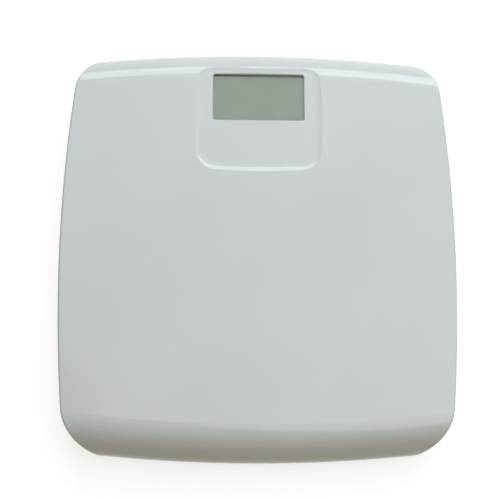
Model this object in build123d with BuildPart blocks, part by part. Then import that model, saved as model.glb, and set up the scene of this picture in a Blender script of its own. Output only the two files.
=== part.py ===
from build123d import *
import math
import os

# Bathroom scale: a moulded platform cover over a bottom tray, with a load cell and a foot at each
# corner. X runs to the right, Y away from the user and Z up, from the floor under its middle.
# All lengths are millimetres.

# Platform cover
platform_width = 305.0
platform_depth = 330.0
platform_height = 42.0
skirt_bottom = 8.0
side_bow = 10.0
end_bow = 8.5
end_crease = 1.5
corner_radius = 41.0
roll_radius = 28.0
side_edge_radius = 2.0
cover_wall = 2.5
cover_rib_thickness = 1.8
cover_rib_pitch = 44.0

# Recessed display panel, with a cove round its floor
panel_width = 100.5
panel_length = 94.5
panel_back_margin = 12.5
panel_bow = 2.0
panel_corner_radius = 17.0
panel_recess = 1.3
panel_cove_radius = 16.0

# Display window opening
window_width = 72.5
window_length = 39.0
window_back_margin = 12.5
window_corner_radius = 1.6
window_chamfer = 0.8

# Clear lens under the opening, on a flat seat
lens_overlap = 2.0
lens_thickness = 1.2
lens_seat_depth = 4.0
lens_clearance = 0.3

# Display glass: a wide top plate, and a bottom plate that leaves the contact ledge free
glass_overlap_x = 2.75
glass_overlap_y = 2.5
glass_plate = 1.1
glass_lower_plate = 1.7
contact_ledge = 5.2
glass_to_lens = 0.2

# Frame that carries the glass on the circuit board
frame_wall = 2.6
frame_lip = 2.4
frame_lip_thickness = 1.0
frame_clearance = 0.4
frame_top_step = 0.2
frame_corner_radius = 2.0
frame_peg_diameter = 1.6
frame_peg_length = 2.0

# Elastomer strip between glass and board
zebra_width = 2.5
zebra_side_gap = 4.0
zebra_gap = 0.4

# Main circuit board
board_side_margin = 8.0
board_length = 64.0
board_thickness = 1.6
board_below_glass = 4.6
board_behind_window = 7.0
board_corner_radius = 1.5
board_screw_span = 40.0
board_boss_diameter = 6.4
board_screw_diameter = 2.2
board_screw_length = 8.0
board_head_diameter = 4.6
board_head_height = 1.4
board_hole_clearance = 0.3

# Parts soldered to the underside of the board
chip_diameter = 15.0
chip_height = 1.8
chip_round_share = 0.9
chip_back_offset = 6.0
crystal_length = 10.5
crystal_width = 4.2
crystal_height = 3.4
capacitor_diameter = 6.0
capacitor_height = 5.0
resistor_length = 3.2
resistor_width = 1.6
resistor_height = 0.6
resistor_pitch = 6.0
resistor_rows = 2
resistors_in_row = 6
component_offset = 24.0
socket_width = 9.6
socket_depth = 6.0
socket_height = 5.5
plug_inset = 0.7
plug_reach = 2.0
socket_edge_spacing = 24.0
front_socket_count = 4
socket_side_offset = 8.0

# Bottom tray, nested in the cover's skirt
tray_gap = 0.6
tray_bottom = 6.0
tray_floor = 2.5
tray_wall = 2.2
tray_rim_height = 16.0
tray_edge_chamfer = 1.2
tray_rib_thickness = 1.6
tray_rib_height = 4.0
tray_rib_pitch = 42.0

# Case screws, driven up from the underside through pillars into the cover's bosses
side_screw_inset = 17.0
side_screw_offset = 50.0
end_screw_inset = 20.0
end_screw_offset = 64.0
pillar_height = 12.0
pillar_diameter = 10.4
case_boss_diameter = 8.4
case_screw_diameter = 3.0
case_screw_length = 11.0
case_head_diameter = 5.6
case_head_height = 2.2
case_head_web = 2.0
case_hole_clearance = 0.4
pilot_spare = 2.0

# Load cell: a steel plate with a U slot that frees a tongue, and two windows beside its gauge beam
foot_side_inset = 44.5
foot_end_inset = 45.0
cell_width = 34.0
cell_thickness = 2.8
cell_corner_radius = 3.0
cell_seat_height = 5.2
cell_slot_width = 1.6
cell_tongue_width = 21.0
cell_tongue_length = 20.0
gauge_beam_width = 8.0
gauge_window_length = 6.0
gauge_window_width = 4.4
coating_length = 8.0
coating_width = 13.0
coating_height = 0.8
coating_corner_radius = 2.0
pocket_clearance = 0.3
pocket_wall = 3.0
press_wall = 3.0
press_gap = 0.2

# Foot: a cup held by its flange, with a post that pushes on the tongue, and a rubber pad
foot_diameter = 30.0
foot_clearance = 0.4
foot_flange = 1.3
foot_flange_thickness = 1.5
foot_flange_gap = 0.2
foot_wall = 2.0
foot_travel = 0.5
foot_post_gap = 0.1
foot_post_diameter = 8.0
foot_rib_thickness = 1.5
foot_rib_height = 3.0
foot_edge_radius = 0.5
cup_height_over_floor = 1.5
pad_diameter = 26.0
pad_thickness = 3.0
pad_clearance = 0.2
pad_edge_radius = 0.8
pad_groove_diameter = 14.0
pad_groove_width = 1.6
pad_groove_depth = 0.6

# Batteries, side by side with their ends reversed, and the compartment in the tray
battery_diameter = 10.5
battery_length = 44.5
battery_nub_diameter = 3.8
battery_nub_height = 0.9
battery_edge_radius = 0.6
battery_gap = 0.3
compartment_y = -30.0
compartment_wall = 2.0
compartment_collar = 3.2
contact_thickness = 0.4
contact_width = 8.0
contact_end_gap = 0.15
contact_tail_rise = 1.6
contact_tail_width = 2.4
spring_room = 3.4
spring_lean = 1.2

# Battery door, hooked at its near edge
door_thickness = 2.4
door_overlap = 3.2
door_edge_gap = 0.4
door_top_gap = 0.2
door_corner_radius = 1.5
hook_width = 8.0
hook_spacing = 30.0
hook_reach = 2.5
hook_thickness = 1.2
hook_clearance = 0.3
latch_width = 12.0
latch_slot = 1.2
latch_length = 8.0
latch_groove_width = 1.0
latch_groove_pitch = 2.2
latch_groove_depth = 0.5
latch_groove_count = 3
grip_width = 16.0
grip_reach = 5.0
grip_depth = 1.4

# Unit button under the tray, its key switch and their small board
button_y = 16.0
button_diameter = 8.0
button_clearance = 0.3
button_sink = 0.5
button_flange = 1.6
button_flange_thickness = 1.2
button_flange_gap = 0.2
button_post_diameter = 3.0
button_post_height = 2.0
button_travel = 0.8
button_travel_gap = 0.1
button_edge_radius = 0.6
plunger_diameter = 3.4
plunger_height = 1.0
key_width = 6.0
key_height = 3.4
switch_board_width = 26.0
switch_board_length = 14.0
switch_board_thickness = 1.2
switch_screw_spacing = 20.0
switch_post_diameter = 5.0
switch_screw_diameter = 2.0
switch_screw_length = 5.0
switch_head_diameter = 3.8
switch_head_height = 1.2

# Leads, and the saddles that hold the long ones over the tray floor
cell_lead_diameter = 1.6
thin_lead_diameter = 1.3
lead_run_height = 8.9
lead_gate_reach = 5.0
lead_bend_share = 0.45
saddle_length = 4.0
saddle_clearance = 0.3
saddle_cheek = 1.8
battery_lane = 12.0
battery_lane_pitch = 2.4

# Shared values
overrun = 2.0
thread_gap = 0.03
inner_clearance = 1.0
rib_clearance = 4.6
downward_share = 0.5

# Levels and places that follow from the sizes above
platform_back = platform_depth / 2
panel_floor = platform_height - panel_recess
panel_back = platform_back - panel_back_margin
panel_front = panel_back - panel_length
cove_drop = panel_cove_radius - panel_recess
panel_spread = panel_cove_radius - math.sqrt(panel_cove_radius**2 - cove_drop**2)
window_back = panel_back - window_back_margin
window_y = window_back - window_length / 2

lens_top = platform_height - lens_seat_depth
lens_width = window_width + 2 * lens_overlap
lens_length = window_length + 2 * lens_overlap
glass_top = lens_top - lens_thickness - glass_to_lens
glass_step = glass_top - glass_plate
glass_bottom = glass_step - glass_lower_plate
glass_width = window_width + 2 * glass_overlap_x
glass_length = window_length + 2 * glass_overlap_y
frame_top = glass_top - frame_top_step
frame_width = glass_width + 2 * (frame_clearance + frame_wall)
frame_length = glass_length + 2 * (frame_clearance + frame_wall)
board_top = glass_bottom - board_below_glass
board_bottom = board_top - board_thickness
board_width = frame_width + 2 * board_side_margin
board_back = window_back + board_behind_window
board_y = board_back - board_length / 2
board_front = board_back - board_length
board_screw_x = (frame_width + board_width) / 4
front_socket_span = (front_socket_count - 1) * socket_edge_spacing
socket_slots = range(front_socket_count)
front_socket_places = [slot * socket_edge_spacing - front_socket_span / 2 for slot in socket_slots]
bay_width = board_width + socket_width + 2 * inner_clearance
bay_front = board_front - board_length / 2
bay_length = platform_depth

tray_floor_top = tray_bottom + tray_floor
pillar_top = tray_bottom + pillar_height
tray_inset = cover_wall + tray_gap
cell_seat = tray_bottom + cell_seat_height
cell_top = cell_seat + cell_thickness
foot_x = platform_width / 2 - foot_side_inset
foot_y = platform_depth / 2 - foot_end_inset
pocket_width = cell_width + 2 * pocket_clearance
press_bottom = cell_top + press_gap
gauge_offset = cell_tongue_length / 2 - cell_slot_width - gauge_window_length / 2
flange_bottom = tray_floor_top + foot_flange_gap
lead_height = tray_bottom + lead_run_height
socket_middle = board_bottom - socket_height / 2

door_top = tray_bottom + door_thickness
compartment_floor = door_top + door_top_gap
compartment_length = battery_length + spring_room + 2 * (contact_thickness + contact_end_gap)
compartment_width = 2 * battery_diameter + 3 * battery_gap
compartment_ceiling = compartment_floor + battery_diameter + 2 * battery_gap
compartment_top = compartment_ceiling + compartment_wall
battery_height = compartment_floor + battery_gap + battery_diameter / 2
battery_pitch = battery_diameter + battery_gap
contact_tail_top = compartment_top + contact_tail_rise
door_length = compartment_length + 2 * door_overlap
door_width = compartment_width + 2 * door_overlap
door_near = compartment_y - door_width / 2
door_far = compartment_y + door_width / 2

button_bottom = tray_bottom + button_sink
button_shoulder = tray_floor_top + button_flange_gap
button_top = button_shoulder + button_flange_thickness + button_post_height
plunger_bottom = button_top + button_travel + button_travel_gap
switch_board_bottom = plunger_bottom + plunger_height + key_height
switch_board_top = switch_board_bottom + switch_board_thickness

cover_rib_bottom = compartment_top + rib_clearance

corners = [(side, end) for end in (-1, 1) for side in (-1, 1)]
foot_names = ["front_left", "front_right", "back_left", "back_right"]
foot_places = [(side * foot_x, end * foot_y) for side, end in corners]
side_screw_x = platform_width / 2 - side_screw_inset
end_screw_y = platform_depth / 2 - end_screw_inset
case_screw_places = [(side * side_screw_x, end * side_screw_offset) for side, end in corners]
case_screw_places += [(side * end_screw_offset, end * end_screw_y) for side, end in corners]
board_screw_places = [(side * board_screw_x, window_y + end * board_screw_span / 2) for side, end in corners]
switch_screw_places = [(side * switch_screw_spacing / 2, button_y) for side in (-1, 1)]


def save(piece, label):
    """Name a finished piece and write its STEP file."""
    piece.part.label = label
    export_step(piece.part, f"parts/{label}.step")


def outer_loop(faces):
    """The edges round a group of faces: those that belong to only one face of the group."""
    edges = [edge for face in faces for edge in face.edges()]
    return [edge for edge in edges if sum(edge.is_same(other) for other in edges) == 1]


def platform_form(inset, low, high):
    """The platform drawn in by an inset, with its bowed outline and rolled ends, between two heights."""
    half_width = platform_width / 2 - side_bow
    half_depth = platform_depth / 2 - end_bow + end_crease
    end_reach = half_depth + end_bow
    side_radius = (half_depth**2 + side_bow**2) / (2 * side_bow)
    end_radius = (half_width**2 + end_bow**2) / (2 * end_bow)
    side_centre = platform_width / 2 - side_radius
    end_centre = end_reach - end_radius
    with BuildPart() as form:
        with BuildSketch(Plane.XY.offset(low)) as outline:
            Rectangle(platform_width + overrun, 2 * end_reach + overrun)
            for turn in (0, 180):
                with Locations(Location((0, 0), turn) * Location((side_centre, 0), 180)):
                    Circle(side_radius - inset, mode=Mode.INTERSECT)
                with Locations(Location((0, 0), turn) * Location((0, end_centre), 180)):
                    Circle(end_radius - inset, mode=Mode.INTERSECT)
            fillet(outline.vertices(), corner_radius - inset)
        extrude(amount=high - low)
        for end in (1, -1):
            centre = end * (platform_depth / 2 - end_radius)
            rim = centre - end * (end_radius - inset)
            crest = centre - end * (end_radius - roll_radius)
            with BuildSketch(Plane.YZ):
                with BuildLine():
                    foot_line = Line((centre, 0), (rim, 0))
                    wall_line = Line(foot_line @ 1, (rim, platform_height - roll_radius))
                    top = platform_height - inset
                    roll = RadiusArc(wall_line @ 1, (crest, top), end * (roll_radius - inset))
                    top_line = Line(roll @ 1, (centre, top))
                    Line(top_line @ 1, foot_line @ 0)
                make_face()
            revolve(axis=Axis((0, centre, 0), (0, 0, 1)), mode=Mode.INTERSECT)
    return form.part


def panel_outline(growth):
    """The display panel's outline, slightly bowed on all sides, grown by an amount."""
    half_width = panel_width / 2 - panel_bow
    front = panel_front + panel_bow
    back = panel_back - panel_bow
    middle = (panel_front + panel_back) / 2
    with BuildSketch() as outline:
        with BuildLine():
            ThreePointArc((half_width, front), (panel_width / 2, middle), (half_width, back))
            ThreePointArc((half_width, back), (0, panel_back), (-half_width, back))
            ThreePointArc((-half_width, back), (-panel_width / 2, middle), (-half_width, front))
            ThreePointArc((-half_width, front), (0, panel_front), (half_width, front))
        make_face()
        fillet(outline.vertices(), panel_corner_radius)
        offset(amount=growth, mode=Mode.REPLACE)
    return outline.sketch


def self_tapping_screws(seat, heading, places, screw_diameter, screw_length, head_diameter, head_height):
    """Pan-head screws whose heads bear on a level: heading 1 drives them up, -1 down."""
    with BuildPart() as screws:
        with BuildSketch(Plane.XY.offset(seat)):
            with Locations(*places):
                Circle(head_diameter / 2)
        extrude(amount=-heading * head_height)
        fillet(screws.faces().group_by(Axis.Z)[0 if heading > 0 else -1].edges(), head_height / 2)
        with BuildSketch(Plane.XY.offset(seat)):
            with Locations(*places):
                Circle(screw_diameter / 2)
        extrude(amount=heading * screw_length)
        chamfer(screws.faces().group_by(Axis.Z)[-1 if heading > 0 else 0].edges(), screw_diameter / 4)
    return screws


def routed_lead(points, diameter):
    """A round lead along straight runs joined by arcs, each as large as its two runs allow."""
    bends = [Vector(*point) for point in points]
    radii = []
    for before, bend, after in zip(bends, bends[1:], bends[2:]):
        turn = math.radians((bend - before).get_angle(after - bend))
        shorter = min((bend - before).length, (after - bend).length)
        radii.append(lead_bend_share * shorter / math.tan(turn / 2))
    with BuildPart() as lead:
        with BuildLine() as path:
            FilletPolyline(*bends, radius=radii)
        with BuildSketch(Plane(bends[0], z_dir=bends[1] - bends[0])):
            Circle(diameter / 2)
        sweep(path=path.wires()[0])
    return lead


def route(start, end, shares):
    """A lead's points from start to end, placed by their shares of the way back from end to start."""
    points = [start]
    for share_x, share_y, share_z in shares:
        points.append(tuple(
            last + share * (first - last)
            for first, last, share in zip(start, end, (share_x, share_y, share_z))
        ))
    return points + [end]


def saddle_plane(points, run, level):
    """A level plane at the middle of one run of a route, with X along the run."""
    here, ahead = Vector(*points[run]), Vector(*points[run + 1])
    middle = (here + ahead) / 2
    along = (ahead.X - here.X, ahead.Y - here.Y, 0)
    return Plane(origin=(middle.X, middle.Y, level), x_dir=along, z_dir=(0, 0, 1))


os.makedirs("parts", exist_ok=True)

# Routes of the load cells' leads: out past the press, and on to the board's sockets
back_lead_shares = [(0.64, 0.66, 0.96), (0.39, 0.20, 0.62), (0.19, 0, 0)]
front_lead_shares = [
    (0.563, 0.91, 0.99),
    (0.445, 0.69, 0.99),
    (0.478, 0.44, 0.985),
    (0.38, 0.21, 0.97),
    (0.157, 0.10, 0.55),
    (0, 0.045, 0),
]
cell_routes = {}
for name, (side, end), (x, y) in zip(foot_names, corners, foot_places):
    start = (x - side * coating_width / 2, y + end * gauge_offset, lead_height)
    gate = (x - side * (cell_width / 2 + lead_gate_reach), y + end * gauge_offset, lead_height)
    if end > 0:
        socket = (side * board_width / 2, board_front + socket_side_offset, socket_middle)
        lead_shares = back_lead_shares
    else:
        socket = (side * front_socket_span / 2, board_front, socket_middle)
        lead_shares = front_lead_shares
    cell_routes[name] = [start] + route(gate, socket, lead_shares)
saddle_runs = {"front_left": (3, 4), "front_right": (3, 4), "back_left": (1,), "back_right": (1,)}

# Platform cover: outer form less a core that leaves walls, ribs, bosses and presses standing
cover_form = platform_form(0, skirt_bottom, platform_height)
cavity_form = platform_form(cover_wall, skirt_bottom - overrun, platform_height)
panel_form = platform_form(panel_recess, 0, platform_height)
land_form = platform_form(cover_wall + panel_recess, 0, platform_height)

with BuildPart() as panel_cutter:
    add(panel_outline(panel_spread))
    extrude(amount=platform_height + 2 * panel_cove_radius)
    add(panel_form, mode=Mode.SUBTRACT)
    panel_floor_faces = panel_cutter.faces().filter_by(lambda face: face.normal_at().Z < -downward_share)
    fillet(outer_loop(panel_floor_faces), panel_cove_radius)

with BuildPart() as panel_land:
    add(panel_outline(cover_wall))
    extrude(amount=platform_height)
    add(land_form, mode=Mode.SUBTRACT)

with BuildPart() as cover_ribs:
    with BuildSketch(Plane.XY.offset(cover_rib_bottom)):
        with GridLocations(cover_rib_pitch, 0, int(platform_width / cover_rib_pitch), 1):
            Rectangle(cover_rib_thickness, platform_depth)
        with GridLocations(0, cover_rib_pitch, 1, int(platform_depth / cover_rib_pitch)):
            Rectangle(platform_width, cover_rib_thickness)
        with Locations((0, bay_front + bay_length / 2)):
            Rectangle(bay_width + 2 * cover_rib_thickness, bay_length + 2 * cover_rib_thickness)
            Rectangle(bay_width, bay_length, mode=Mode.SUBTRACT)
    extrude(amount=platform_height - cover_rib_bottom)

with BuildPart() as cover_core:
    add(cavity_form)
    add(panel_land.part, mode=Mode.SUBTRACT)
    add(cover_ribs.part, mode=Mode.SUBTRACT)
    with BuildSketch(Plane.XY.offset(pillar_top)):
        with Locations(*case_screw_places):
            Circle(case_boss_diameter / 2)
    extrude(amount=platform_height - pillar_top, mode=Mode.SUBTRACT)
    with BuildSketch(Plane.XY.offset(press_bottom)):
        with Locations(*foot_places):
            Rectangle(cell_width, cell_width)
            Rectangle(cell_width - 2 * press_wall, cell_width - 2 * press_wall, mode=Mode.SUBTRACT)
    extrude(amount=platform_height - press_bottom, mode=Mode.SUBTRACT)
    with BuildSketch(Plane.XY.offset(board_top)):
        with Locations(*board_screw_places):
            Circle(board_boss_diameter / 2)
    extrude(amount=platform_height - board_top, mode=Mode.SUBTRACT)

with BuildPart() as platform_cover:
    add(cover_form)
    side_faces = platform_cover.faces().filter_by(GeomType.CYLINDER)
    side_faces = side_faces.filter_by(lambda face: abs(face.center().X) > platform_width / 4)
    lowest = skirt_bottom + side_edge_radius
    fillet([edge for edge in outer_loop(side_faces) if edge.center().Z > lowest], side_edge_radius)
    add(panel_cutter.part, mode=Mode.SUBTRACT)
    with BuildSketch(Plane.XY.offset(panel_floor - window_chamfer)):
        with Locations((0, window_y)):
            RectangleRounded(window_width, window_length, window_corner_radius)
    extrude(amount=2 * window_chamfer, taper=-45, mode=Mode.SUBTRACT)
    with BuildSketch(Plane.XY.offset(panel_floor)):
        with Locations((0, window_y)):
            RectangleRounded(window_width, window_length, window_corner_radius)
    extrude(amount=-lens_seat_depth, mode=Mode.SUBTRACT)
    with BuildSketch(Plane.XY.offset(lens_top)):
        with Locations((0, window_y)):
            Rectangle(lens_width + 2 * lens_clearance, lens_length + 2 * lens_clearance)
    extrude(amount=-lens_seat_depth, mode=Mode.SUBTRACT)
    with BuildSketch(Plane.XY.offset(frame_top + frame_clearance)):
        with Locations((0, window_y)):
            Rectangle(frame_width + 2 * frame_clearance, frame_length + 2 * frame_clearance)
    extrude(amount=board_top - frame_top, mode=Mode.SUBTRACT)
    with BuildSketch(Plane.XY.offset(pillar_top)):
        with Locations(*case_screw_places):
            Circle(case_screw_diameter / 2 + thread_gap)
    extrude(amount=case_screw_length - case_head_web + pilot_spare, mode=Mode.SUBTRACT)
    with BuildSketch(Plane.XY.offset(board_top)):
        with Locations(*board_screw_places):
            Circle(board_screw_diameter / 2 + thread_gap)
    extrude(amount=board_screw_length - board_thickness, mode=Mode.SUBTRACT)
    with BuildSketch(Plane.XY.offset(press_bottom - overrun)):
        for (side, end), (x, y) in zip(corners, foot_places):
            with Locations((x - side * cell_width / 2, y + end * gauge_offset)):
                Rectangle(2 * press_wall + cell_lead_diameter, 2 * cell_lead_diameter)
    extrude(amount=overrun + 2 * cell_lead_diameter, mode=Mode.SUBTRACT)
    add(cover_core.part, mode=Mode.SUBTRACT)
save(platform_cover, "platform_cover")

# Bottom tray: a floor and a low wall, with ribs, screw pillars, cell pockets and the battery compartment
tray_form = platform_form(tray_inset, tray_bottom, tray_rim_height)
tray_hollow = platform_form(tray_inset + tray_wall, tray_floor_top, platform_height)

with BuildPart() as tray_core:
    add(tray_hollow)
    with BuildSketch(Plane.XY.offset(tray_floor_top)):
        with GridLocations(tray_rib_pitch, 0, int(platform_width / tray_rib_pitch), 1):
            Rectangle(tray_rib_thickness, platform_depth)
        with GridLocations(0, tray_rib_pitch, 1, int(platform_depth / tray_rib_pitch)):
            Rectangle(platform_width, tray_rib_thickness)
    extrude(amount=tray_rib_height, mode=Mode.SUBTRACT)

# What stands on the tray's floor
with BuildPart() as tray_blocks:
    with BuildSketch(Plane.XY.offset(tray_floor_top)):
        with Locations(*case_screw_places):
            Circle(pillar_diameter / 2)
    extrude(amount=pillar_top - tray_floor_top)
    with BuildSketch(Plane.XY.offset(tray_floor_top)):
        with Locations(*foot_places):
            pocket_outside = pocket_width + 2 * pocket_wall
            RectangleRounded(pocket_outside, pocket_outside, cell_corner_radius + pocket_wall)
    extrude(amount=cell_top - tray_floor_top)
    with BuildSketch(Plane.XY.offset(tray_floor_top)):
        with Locations((0, compartment_y)):
            collar_length = door_length + 2 * compartment_wall
            collar_width = door_width + 2 * compartment_collar
            RectangleRounded(collar_length, collar_width, door_corner_radius + compartment_wall)
    extrude(amount=door_top + hook_reach + compartment_wall - tray_floor_top)
    with BuildSketch(Plane.XY.offset(tray_floor_top)):
        with Locations((0, compartment_y)):
            Rectangle(compartment_length + 2 * compartment_wall, compartment_width + 2 * compartment_wall)
    extrude(amount=compartment_top - tray_floor_top)
    with BuildSketch(Plane.XY.offset(tray_floor_top)):
        with Locations(*switch_screw_places):
            Circle(switch_post_diameter / 2)
    extrude(amount=switch_board_bottom - tray_floor_top)
    # Saddles under the long runs of the load cells' leads
    for name, runs in saddle_runs.items():
        for run in runs:
            with BuildSketch(saddle_plane(cell_routes[name], run, tray_floor_top)):
                Rectangle(saddle_length, cell_lead_diameter + 2 * (saddle_clearance + saddle_cheek))
            extrude(amount=lead_height + cell_lead_diameter / 2 - tray_floor_top)

# What is cut out of the tray, its floor and its blocks
with BuildPart() as tray_cuts:
    # Foot bores with their flange space, and the seats of the load cells
    with BuildSketch(Plane.XY.offset(tray_bottom - overrun)):
        with Locations(*foot_places):
            Circle(foot_diameter / 2 + foot_clearance)
    extrude(amount=tray_floor + overrun)
    with BuildSketch(Plane.XY.offset(tray_floor_top)):
        with Locations(*foot_places):
            Circle(foot_diameter / 2 + foot_flange + foot_clearance)
    extrude(amount=cell_seat - tray_floor_top)
    with BuildSketch(Plane.XY.offset(cell_seat)):
        with Locations(*foot_places):
            RectangleRounded(pocket_width, pocket_width, cell_corner_radius + pocket_clearance)
    extrude(amount=cell_thickness + overrun)
    # Battery compartment, open downwards into the door's rebate
    with BuildSketch(Plane.XY.offset(compartment_floor)):
        with Locations((0, compartment_y)):
            Rectangle(compartment_length, compartment_width)
    extrude(amount=compartment_ceiling - compartment_floor)
    with BuildSketch(Plane.XY.offset(tray_bottom - overrun)):
        with Locations((0, compartment_y)):
            rebate_length = door_length + 2 * door_edge_gap
            rebate_width = door_width + 2 * door_edge_gap
            RectangleRounded(rebate_length, rebate_width, door_corner_radius + door_edge_gap)
    extrude(amount=compartment_floor - tray_bottom + overrun)
    # Slots that take the door's hooks as it swings
    with BuildSketch(Plane.XY.offset(door_top - hook_thickness - door_top_gap)):
        with GridLocations(hook_spacing, 0, 2, 1):
            with Locations((0, door_near)):
                Rectangle(hook_width + 2 * hook_clearance, 2 * (hook_reach + door_edge_gap + hook_clearance))
    extrude(amount=hook_thickness + door_top_gap + hook_reach)
    # Finger grip beside the latch
    with BuildSketch(Plane.XY.offset(tray_bottom - overrun)):
        with Locations((0, door_far)):
            SlotOverall(grip_width, 2 * grip_reach)
    extrude(amount=grip_depth + overrun)
    # Slits for the contacts' solder tails
    with BuildSketch(Plane.XY.offset(compartment_ceiling - overrun)):
        for end in (-1, 1):
            slit_x = compartment_length / 2 - contact_thickness / 2 - contact_end_gap
            with Locations((slit_x, compartment_y + end * battery_pitch / 2)):
                Rectangle(contact_thickness + 2 * contact_end_gap, contact_tail_width + 2 * contact_end_gap)
    extrude(amount=compartment_top - compartment_ceiling + 2 * overrun)
    # A well in the ribs for the unit button's flange
    with BuildSketch(Plane.XY.offset(tray_floor_top)):
        with Locations((0, button_y)):
            Circle(button_diameter / 2 + button_flange + inner_clearance)
    extrude(amount=tray_rib_height)
    with BuildSketch(Plane.XY.offset(switch_board_bottom)):
        with Locations(*switch_screw_places):
            Circle(switch_screw_diameter / 2 + thread_gap)
    extrude(amount=-switch_screw_length)
    # Grooves of the lead saddles
    for name, runs in saddle_runs.items():
        for run in runs:
            with BuildSketch(saddle_plane(cell_routes[name], run, lead_height - cell_lead_diameter / 2)):
                Rectangle(saddle_length + overrun, cell_lead_diameter + 2 * saddle_clearance)
            extrude(amount=2 * cell_lead_diameter)

with BuildPart() as bottom_tray:
    add(tray_form)
    chamfer(bottom_tray.faces().sort_by(Axis.Z)[0].edges(), tray_edge_chamfer)
    add(tray_core.part, mode=Mode.SUBTRACT)
    add(tray_blocks.part)
    add(tray_cuts.part, mode=Mode.SUBTRACT)
    with Locations((0, button_y, tray_floor_top)):
        Hole(button_diameter / 2 + button_clearance)
    # Counterbored screw holes, drilled up from the underside
    screw_spots = [Location((x, y, tray_bottom), (180, 0, 0)) for x, y in case_screw_places]
    with Locations(*screw_spots):
        CounterBoreHole(
            radius=(case_screw_diameter + case_hole_clearance) / 2,
            counter_bore_radius=case_head_diameter / 2 + case_hole_clearance,
            counter_bore_depth=pillar_height - case_head_web,
            depth=pillar_height,
        )
save(bottom_tray, "bottom_tray")

# Display: lens, glass, frame and zebra strip
with BuildPart() as display_lens:
    with BuildSketch(Plane.XY.offset(lens_top)):
        with Locations((0, window_y)):
            RectangleRounded(lens_width, lens_length, window_corner_radius)
    extrude(amount=-lens_thickness)
save(display_lens, "display_lens")

with BuildPart() as lcd_panel:
    with BuildSketch(Plane.XY.offset(glass_step)):
        with Locations((0, window_y)):
            Rectangle(glass_width, glass_length)
    extrude(amount=glass_plate)
    with BuildSketch(Plane.XY.offset(glass_bottom)):
        with Locations((0, window_y + contact_ledge / 2)):
            Rectangle(glass_width, glass_length - contact_ledge)
    extrude(amount=glass_lower_plate)
save(lcd_panel, "lcd_panel")

peg_x = (frame_width - frame_wall) / 2
peg_reach = frame_length / 2 - frame_corner_radius - frame_wall
peg_places = [(side * peg_x, window_y + end * peg_reach) for side, end in corners]
with BuildPart() as lcd_frame:
    with BuildSketch(Plane.XY.offset(board_top)):
        with Locations((0, window_y)):
            RectangleRounded(frame_width, frame_length, frame_corner_radius)
    extrude(amount=frame_top - board_top)
    with BuildSketch(Plane.XY.offset(glass_bottom)):
        with Locations((0, window_y)):
            Rectangle(glass_width + 2 * frame_clearance, glass_length + 2 * frame_clearance)
    extrude(amount=frame_top - glass_bottom, mode=Mode.SUBTRACT)
    with BuildSketch(Plane.XY.offset(board_top)):
        with Locations((0, window_y)):
            lip_inset = 2 * (frame_lip - frame_clearance)
            Rectangle(glass_width - lip_inset, glass_length - lip_inset)
    extrude(amount=glass_bottom - board_top, mode=Mode.SUBTRACT)
    with BuildSketch(Plane.XY.offset(board_top)):
        with Locations((0, window_y)):
            Rectangle(glass_width + 2 * frame_clearance, glass_length + 2 * frame_clearance)
    extrude(amount=glass_bottom - frame_lip_thickness - board_top, mode=Mode.SUBTRACT)
    with BuildSketch(Plane.XY.offset(board_top)):
        with Locations(*peg_places):
            Circle(frame_peg_diameter / 2)
    extrude(amount=-frame_peg_length)
save(lcd_frame, "lcd_frame")

with BuildPart() as zebra_strip:
    zebra_y = window_y - glass_length / 2 + contact_ledge - zebra_gap - zebra_width / 2
    with BuildSketch(Plane.XY.offset(board_top)):
        with Locations((0, zebra_y)):
            Rectangle(glass_width - 2 * zebra_side_gap, zebra_width)
    extrude(amount=glass_step - board_top)
save(zebra_strip, "zebra_strip")

# Main circuit board and what is soldered to it
with BuildPart() as circuit_board:
    with BuildSketch(Plane.XY.offset(board_bottom)):
        with Locations((0, board_y)):
            RectangleRounded(board_width, board_length, board_corner_radius)
    extrude(amount=board_thickness)
    with Locations(*[(x, y, board_top) for x, y in board_screw_places]):
        Hole(board_screw_diameter / 2 + board_hole_clearance / 2)
    with Locations(*[(x, y, board_top) for x, y in peg_places]):
        Hole(frame_peg_diameter / 2 + board_hole_clearance / 2)
save(circuit_board, "circuit_board")

with BuildPart() as controller_chip:
    with BuildSketch(Plane.XY.offset(board_bottom)):
        with Locations((0, board_y + chip_back_offset)):
            Circle(chip_diameter / 2)
    extrude(amount=-chip_height)
    fillet(controller_chip.faces().sort_by(Axis.Z)[0].edges(), chip_height * chip_round_share)
save(controller_chip, "controller_chip")

with BuildPart() as board_components:
    with BuildSketch(Plane.XY.offset(board_bottom)):
        with Locations((component_offset, board_y)):
            SlotOverall(crystal_length, crystal_width)
    extrude(amount=-crystal_height)
    with BuildSketch(Plane.XY.offset(board_bottom)):
        with Locations((-component_offset, board_y)):
            with GridLocations(2 * capacitor_diameter, 0, 2, 1):
                Circle(capacitor_diameter / 2)
    extrude(amount=-capacitor_height)
    fillet(board_components.faces().sort_by(Axis.Z)[0:2].edges(), resistor_height)
    with BuildSketch(Plane.XY.offset(board_bottom)):
        with Locations((0, board_y - component_offset / 2)):
            with GridLocations(resistor_pitch, 2 * resistor_width, resistors_in_row, resistor_rows):
                Rectangle(resistor_length, resistor_width)
    extrude(amount=-resistor_height)
save(board_components, "board_components")

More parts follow.
